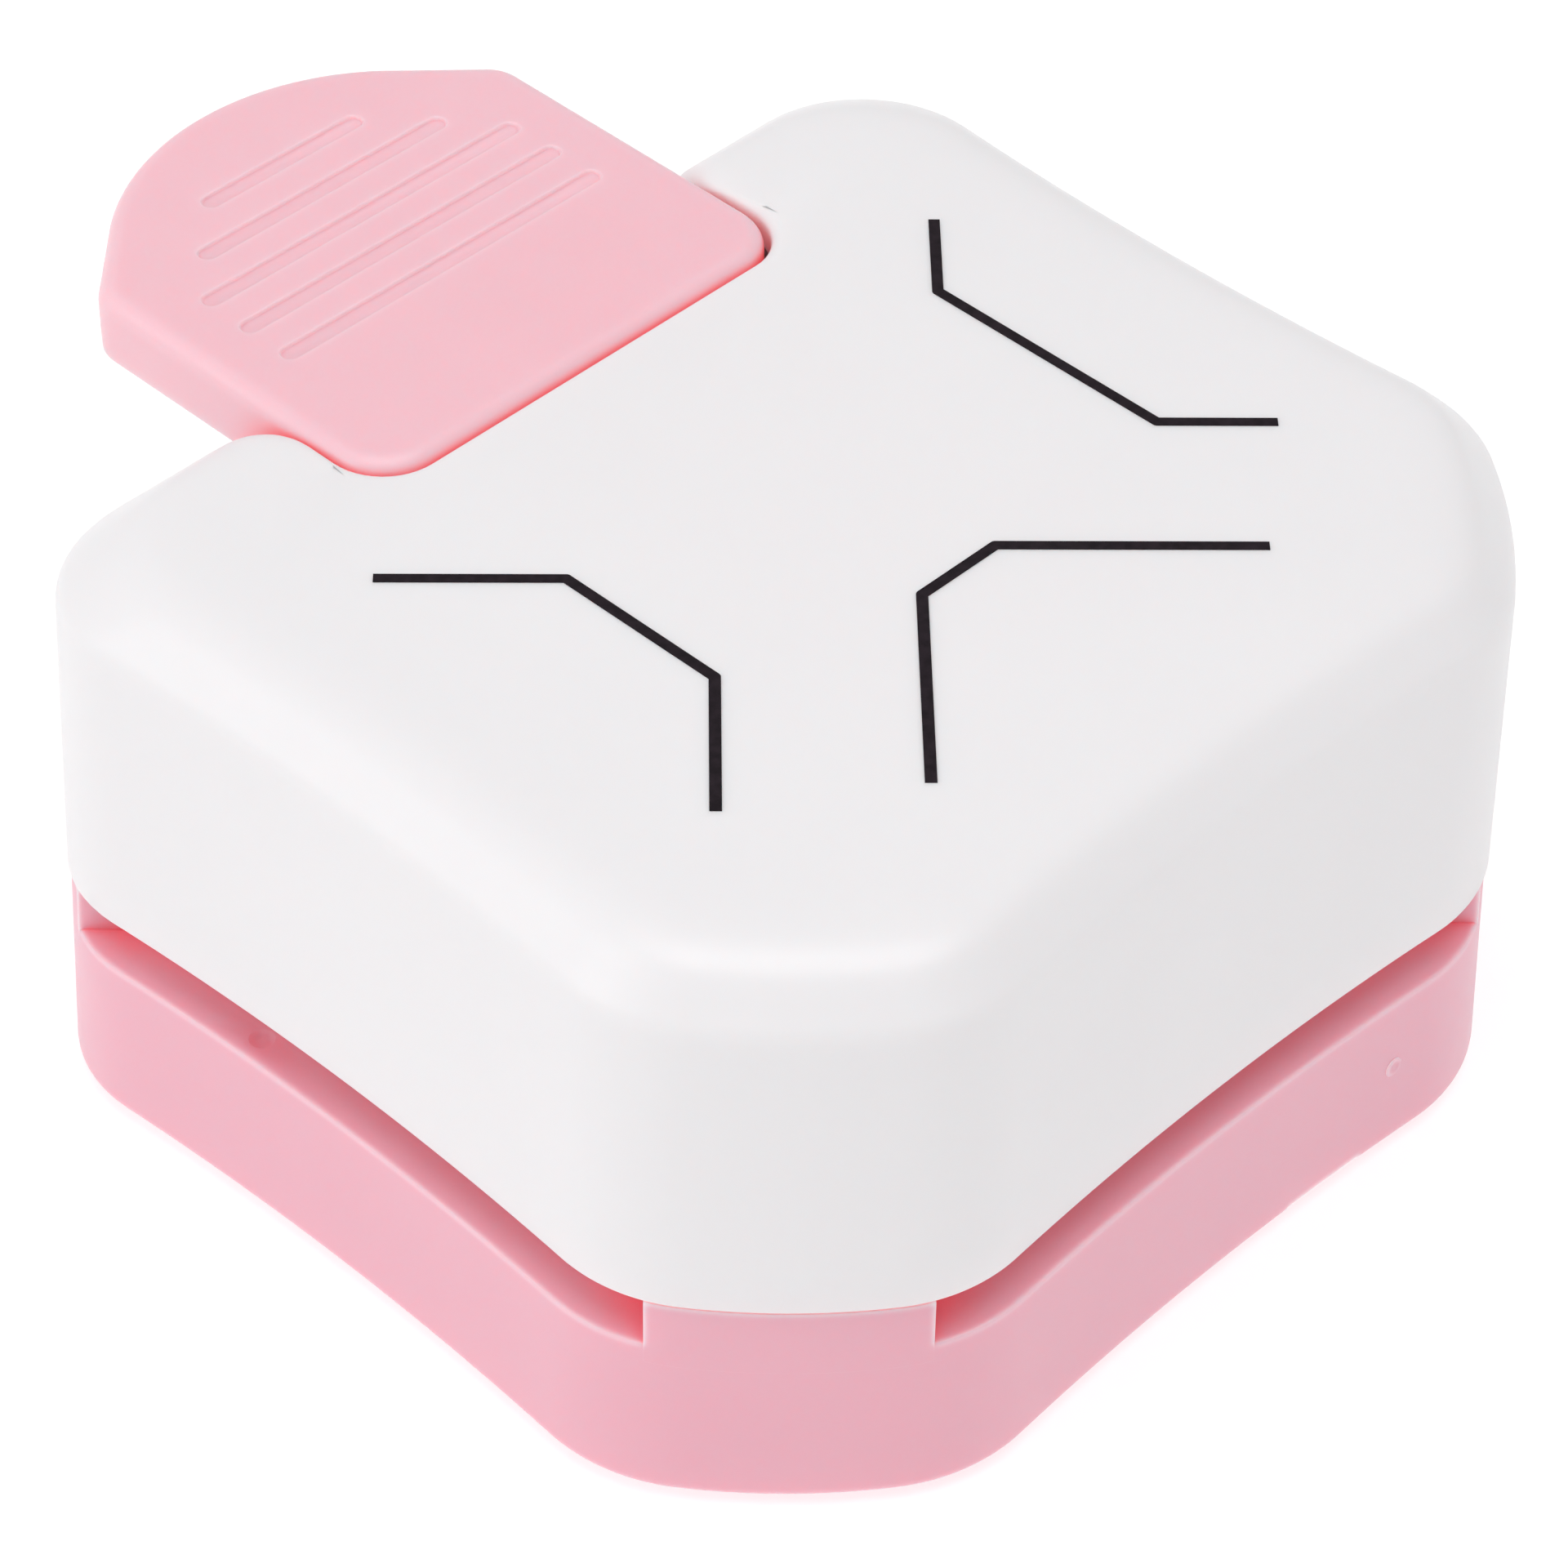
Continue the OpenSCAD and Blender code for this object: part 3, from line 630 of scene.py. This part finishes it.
# ---------------------------------------------------------------- the base
POST_HALF, REAR_POST_HALF = 7.65, 8.3
FRONT_FENCE, REAR_FENCE = POST_HALF * math.sqrt(2), REAR_POST_HALF * math.sqrt(2)
POST_START = 21.5
INNER_REAR, OUTER_REAR = 8.8, 20.2
POST_Z = COVER_Z - 0.18
ROOF_Z = LEDGE_Z + 2.45
DECK_Z = LEDGE_Z - 3.0
BASE_WALL = 2.4
DRAFT = 0.4 / 9.6
FLARE_Z = 0.6
SIDE_TIP = ((FRONT_FENCE + REAR_FENCE) / 2, (FRONT_FENCE - REAR_FENCE) / 2)
PUNCHES = [((0.0, -FRONT_FENCE), -90, 4.0), ((-SIDE_TIP[0], SIDE_TIP[1]), 180, 7.0), (SIDE_TIP, 0, 10.0)]
COLUMN_R, COLUMN_BORE_R, COLUMN_RECESS = 6.2, 4.1, 0.82
ROD_X, ROD_Y, ROD_SLEEVE_R = 10, 14, 5.4
LID_HINGE = (20.6, 1.6)
PRY_NOTCH = (9.0, -34.4)
DIMPLE = (-32.4, 8.4)
GATE_MARK = (14.4, -34.556, 5.8)


def base_profile():
    """(height, inset) of the base's rounded lower edge, drafted wall and the ledge's rounded rim, upwards."""
    rows = [(0.0, 0.42), (0.06, 0.24), (0.18, 0.1), (0.38, 0.02), (FLARE_Z, 0.0)]
    rows += [(z, DRAFT * (z - FLARE_Z)) for z in (3.0, 5.5, 8.0, LEDGE_Z - 0.55)]
    rows += [(LEDGE_Z - 0.2, 0.43), (LEDGE_Z - 0.1, 0.46), (LEDGE_Z - 0.03, 0.52), (LEDGE_Z, 0.62)]
    return rows


def post_inset(z):
    """The wall's inset, less a hair, so that post and wall don't lie in one surface."""
    return DRAFT * (z - FLARE_Z) - 0.004


def crossing(points, side):
    """Where a path of points crosses side(x, y) = 0."""
    for a, b in zip(points, points[1:]):
        sa, sb = side(*a), side(*b)
        if sa * sb <= 0 and sa != sb:
            t = sa / (sa - sb)
            return (a[0] + (b[0] - a[0]) * t, a[1] + (b[1] - a[1]) * t)
    raise ValueError("the path doesn't cross")


def front_post(inset, trim):
    """Outline of the right front post, from its left fence along the outside to its right fence."""
    half = BASE.sides(inset)
    width = POST_HALF - trim

    def across(x, y):
        return (x + y) / math.sqrt(2)

    outside = [(x, y) for x, y in half if abs(across(x, y)) < width and x > 10]
    left = crossing(half, lambda x, y: across(x, y) + width)
    right = crossing(half, lambda x, y: across(x, y) - width)
    reach = (POST_START + trim) / math.sqrt(2)
    side = width / math.sqrt(2)
    return [(reach - side, -reach - side), left, *outside, right, (reach + side, -reach + side)]


def rear_block(inset, trim, inner, start):
    """Outline of a block behind the rear fences, from its inner edge: right half, then mirrored."""
    half = BASE.half(inset)
    fence = REAR_FENCE + trim * math.sqrt(2)

    def side(x, y):
        return y - x + fence

    rear = [(x, y) for x, y in half if y > 5]
    outer = [(x, y) for x, y in rear if side(x, y) > 0]
    meet = crossing(rear, side)
    right = [inner, (start, start - fence), meet, *outer]
    left = [(-x, y) for x, y in reversed(right) if x > 1e-6]
    return right + left


def inner_rear_block(inset, trim):
    """The block behind the slots' rear fences, up to the guide plate and set back from the outside."""
    return rear_block(inset + 1.2, trim, (0.0, INNER_REAR), INNER_REAR + REAR_FENCE)


def outer_rear_block(inset, trim):
    """The wall between the rear corners, which carries the cover."""
    front = OUTER_REAR + trim
    return rear_block(inset, trim - 0.004, (0.0, front), front + REAR_FENCE + trim * 1.414)


def post_rings(outline, low, high):
    """Rings of a post whose outside follows the body's draft and whose top edge is slightly rounded."""
    rows = [(low, 0.0), (high - 0.12, 0.0), (high - 0.035, 0.035), (high, 0.12)]
    return skin([[(x, y, z) for x, y in outline(post_inset(z) + trim, trim)] for z, trim in rows])


def ring_block(middle, outer, inner, low, high, recess):
    """Round column with a flat recess in its lower end."""
    x, y = middle
    rows = [(inner, low + recess), (inner, low), (outer - 0.15, low), (outer, low + 0.15), (outer, high)]
    return skin([[(px, py, z) for px, py in circle(x, y, r, 48)] for r, z in rows])


def moulding_marks():
    """A soft dimple to cut into the left ledge, and the raised rim that a gate left on the right wall."""
    dip = [(0.2, -0.2), (0.4, -0.17), (0.58, -0.1), (0.72, -0.03), (0.85, 0.03), (0.9, 0.2)]
    dimple = skin([[(x, y, LEDGE_Z + dz) for x, y in circle(*DIMPLE, r, 24)] for r, dz in dip])
    rim = [(0.66, -0.4), (0.64, 0.02), (0.56, 0.08), (0.44, 0.085), (0.32, 0.03), (0.16, 0.02)]
    gate_x, gate_y, gate_z = GATE_MARK
    gate_mark = skin([[(gate_x + x, gate_y - out, gate_z + z) for x, z in circle(0, 0, r, 28)]
                      for r, out in rim])
    return dimple, gate_mark


def make_base(materials):
    points, faces = skin([ring(BASE.half(inset), z) for z, inset in base_profile()])
    base = mesh_object("base_body", points, faces, materials["pink_plastic"])
    hollow = skin([ring(BASE.half(BASE_WALL), -1), ring(BASE.half(BASE_WALL), DECK_Z)])
    recess = prism(die_outline(0.1), LEDGE_Z - 2, LEDGE_Z + 1)
    windows = [prism(punch_window(p, 0.8), DECK_Z - 1, LEDGE_Z - 1.9) for p in PUNCHES]
    pry_notch = tube((*PRY_NOTCH, -1), (*PRY_NOTCH, 0.4), 3)
    dimple, gate_mark = moulding_marks()
    cut(base, [hollow, recess, *windows, pry_notch, dimple])
    right_post = post_rings(front_post, LEDGE_Z - 1.2, POST_Z)
    left_post = ([(-x, y, z) for x, y, z in right_post[0]], [f[::-1] for f in right_post[1]])
    shapes = [right_post, left_post, gate_mark]
    shapes.append(post_rings(inner_rear_block, LEDGE_Z - 1.1, ROOF_Z))
    shapes.append(post_rings(outer_rear_block, LEDGE_Z - 1.3, POST_Z))
    under_deck = DECK_Z + 0.2
    for x, y in COLUMNS:
        for s in (1, -1):
            shapes.append(ring_block((s * x, y), COLUMN_R, COLUMN_BORE_R, 0.0, under_deck, COLUMN_RECESS))
    for s in (1, -1):
        shapes.append(tube((s * ROD_X, ROD_Y, 2.6), (s * ROD_X, ROD_Y, under_deck), ROD_SLEEVE_R))
    shapes.append(prism([(-20, 22.5), (20, 22.5), (20, 26.0), (-20, 26.0)], 0.0, 1.6, 0.2))
    lug = [*arc(LID_HINGE, 1.6, 90, 270, 16), (22.8, 0.0), (22.8, 3.2)]
    for low, high in ((-2.4, 2.4), (15, 17.4), (-17.4, -15)):
        shapes.append(side_block(lug, low, high))
    fuse(base, shapes)
    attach(base, "body")
    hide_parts("base_shell")


def punch_window(punch, grow):
    """Outline of a punch, grown on all sides: its cutting edge faces out, its tip the fences' corner."""
    (x, y), turn, leg = punch
    depth = leg / math.sqrt(2)
    half = depth + 1
    shape = [(depth + grow, -half - grow), (depth + grow, half + grow), (depth - 1.5, half + grow),
             (-0.9 - grow, 1.2 + grow), (-0.9 - grow, -1.2 - grow), (depth - 1.5, -half - grow)]
    c, s = math.cos(math.radians(turn)), math.sin(math.radians(turn))
    return [(x + c * px - s * py, y + s * px + c * py) for px, py in shape]


def die_outline(grow):
    """Outline of the die plate, grown on all sides, with its two front corners cut off."""
    front, rear, side, chamfer = -17.0, 8.5, 21.5, 30.0
    return [(front + chamfer, front - grow), (side + grow, side - chamfer), (side + grow, rear + grow),
            (-side - grow, rear + grow), (-side - grow, side - chamfer), (-front - chamfer, front - grow)]


# ---------------------------------------------------------------- the lever
PAD_HALF, PAD_INNER, PAD_CORNER = 16.0, 15.2, 3.6
NOSE_R, NOSE_FLANK = 16.1, 41.0
PAD_Z = TOP - 4.4
PAD_TOP = TOP - 0.01
LIP_R = 1.0
GROOVE_DEPTH = 0.21
GROOVES = [(12.2, 27.2), (12.2, 30.55), (12.1, 33.9), (9.4, 37.3), (6.0, 40.85)]  # (half length, y)
ARM_HALF, HUB_HALF, CLAW_HALF = 12.0, 12.6, 3.0
HUB_R, EYE_R = 4.0, 2.7
APART = 0.01  # keeps end faces out of each other's plane


def pad_half(inset):
    """Right half of the finger pad's outline, from its inner edge round its shoulder to its nose."""
    points = arc((PAD_HALF - PAD_CORNER, PAD_INNER + PAD_CORNER), PAD_CORNER - inset, -90, 0, 12)
    points = line((0.0, PAD_INNER + inset), points[0], 8)[:-1] + points
    shoulder = arc((PAD_HALF - 2.6, PAD_TIP - 10.2), 2.6 - inset, 0, 45, 8)
    points += line(points[-1], shoulder[0], 10)[1:-1] + shoulder
    nose = arc((0.0, PAD_TIP - NOSE_R), NOSE_R - inset, 90 - NOSE_FLANK, 90, 22)
    return points + line(points[-1], nose[0], 5)[1:-1] + nose


def groove_cutter(half_length, y):
    """Flat bottomed groove with round ends, and a softly rounded lip where it meets the pad."""
    bottom = [(-GROOVE_DEPTH, 0.44), (-GROOVE_DEPTH + 0.04, 0.52), (-GROOVE_DEPTH + 0.1, 0.555)]
    lip = [(-0.1, 0.575), (-0.05, 0.6), (-0.02, 0.64), (0.03, 0.72), (0.4, 0.9)]
    reach = half_length - 0.5
    rings = []
    for dz, r in bottom + lip:
        right = arc((reach, y), r, -90, 90, 14)
        left = arc((-reach, y), r, 90, 270, 14)
        outline = line(left[-1], right[0], 6)[:-1] + right + line(right[-1], left[0], 6)[1:-1] + left[:-1]
        rings.append([(px, py, PAD_TOP + dz) for px, py in outline])
    return skin(rings)


def pad_profile():
    """(height, inset) of the pad's rounded lower edge, wall and rounded upper edge, upwards."""
    rows = [(PAD_Z, 0.3), (PAD_Z + 0.08, 0.12), (PAD_Z + 0.25, 0.02)]
    rows += [(PAD_Z + 1.5, 0.0), (PAD_TOP - 2.0, 0.0)]
    for t in np.radians(np.linspace(0, 84, 9)):
        rows.append((PAD_TOP - LIP_R * (1 - math.sin(t)), LIP_R * (1 - math.cos(t))))
    return rows + [(PAD_TOP, LIP_R + 0.1), (PAD_TOP, LIP_R + 0.8)]


def lever_insides():
    """The arm from the pad to the hinge with two ribs, the claw round the drive pin, and the pad's ribs."""
    hinge = joints["lever_hinge"]["pos_m"]
    pin_y, pin_z = hinge[1] / MM - BODY_Y, hinge[2] / MM - BODY_Z
    drive_low, drive_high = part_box("drive_pin")
    drive_y = (drive_low.y + drive_high.y) / 2 / MM - BODY_Y
    drive_z = (drive_low.z + drive_high.z) / 2 / MM - BODY_Z
    arm = [(-23.6, pin_z), (-16.4, pin_z), (-15.6, 31.3), (20.0, 31.3), (20.0, 33.8), (-20.0, 33.8)]
    rib = [(-20, 22), (-16.3, 22.6), (-8, 29.5), (19, 29.5), (19, 32.3), (-16, 32.3)]
    claw = [(drive_y - 2.7, drive_z), (drive_y + 2.7, drive_z), (drive_y + 4, 32.3), (drive_y - 4, 32.3)]
    pad_rib = [(16, PAD_Z + 0.4), (43, PAD_Z + 0.4), (43, PAD_Z + 3), (16, PAD_Z + 3)]
    rib_side, eye_half = ARM_HALF - APART, CLAW_HALF - APART
    return [
        side_block(arm, -ARM_HALF, ARM_HALF),
        side_block(rib, 10, rib_side),
        side_block(rib, -rib_side, -10),
        side_block(claw, -CLAW_HALF, CLAW_HALF),
        tube((-HUB_HALF, pin_y, pin_z), (HUB_HALF, pin_y, pin_z), HUB_R, 56),
        tube((-eye_half, drive_y, drive_z), (eye_half, drive_y, drive_z), EYE_R),
        *[side_block(pad_rib, x - 0.7, x + 0.7) for x in (-8, 0, 8)],
    ]


def make_lever(materials):
    points, faces = skin([ring(pad_half(inset), z) for z, inset in pad_profile()])
    lever = mesh_object("lever_body", points, faces, materials["lever_plastic"])
    hollow = skin([ring(pad_half(2.0), PAD_Z - 1), ring(pad_half(2.2), TOP - 2.3)])
    cut(lever, [hollow] + [groove_cutter(half, y) for half, y in GROOVES])
    fuse(lever, lever_insides())
    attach(lever, "lever")
    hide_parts("press_lever")


# ---------------------------------------------------------------- springs
WIRE = 0.8 * MM


def make_spring(name, node, material):
    """Round wire wound between its node's ends, with one closed turn at each."""
    low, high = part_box(node)
    middle = (low + high) / 2
    radius = (high.x - low.x) / 2 - WIRE / 2
    turns, per_turn, around = 8, 40, 16
    closed = WIRE * 1.06
    pitch = (high.z - low.z - WIRE - 2 * closed) / (turns - 2)
    hand = 1 if middle.x > 0 else -1
    n = turns * per_turn
    points = []
    for i in range(n + 1):
        t = i / per_turn
        z = closed * min(t, 1) + pitch * max(0, min(t - 1, turns - 2)) + closed * max(0, t - turns + 1)
        a = 2 * math.pi * t * hand
        for j in range(around):
            b = 2 * math.pi * j / around
            r = radius + WIRE / 2 * math.cos(b)
            points.append((middle.x + r * math.cos(a), middle.y + r * math.sin(a),
                           low.z + WIRE / 2 + z + WIRE / 2 * math.sin(b)))
    faces = []
    for i in range(n):
        for j in range(around):
            k = (j + 1) % around
            faces.append([i * around + j, i * around + k, (i + 1) * around + k, (i + 1) * around + j])
    faces += [list(range(around))[::-1], [n * around + j for j in range(around)]]
    mesh = bpy.data.meshes.new(name)
    mesh.from_pydata(points, [], faces)
    mesh.shade_smooth()
    spring = bpy.data.objects.new(name, mesh)
    spring.data.materials.append(material)
    scene.collection.objects.link(spring)
    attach(spring, "body")
    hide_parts(node)
    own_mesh(spring)


# ---------------------------------------------------------------- carried over CAD nodes
def dress_nodes(materials):
    for part in frame["record"]["subparts"]:
        node = frame["nodes"][part["node"]]
        node.data.materials.clear()
        node.data.materials.append(materials[part["material_slot"]])


make_camera()
make_studio()
make_floor()
MATERIALS = make_materials()
dress_nodes(MATERIALS)
make_cover(MATERIALS)
make_base(MATERIALS)
make_lever(MATERIALS)
make_spring("spring_left", "return_spring_left", MATERIALS["spring_steel"])
make_spring("spring_right", "return_spring_right", MATERIALS["spring_steel"])
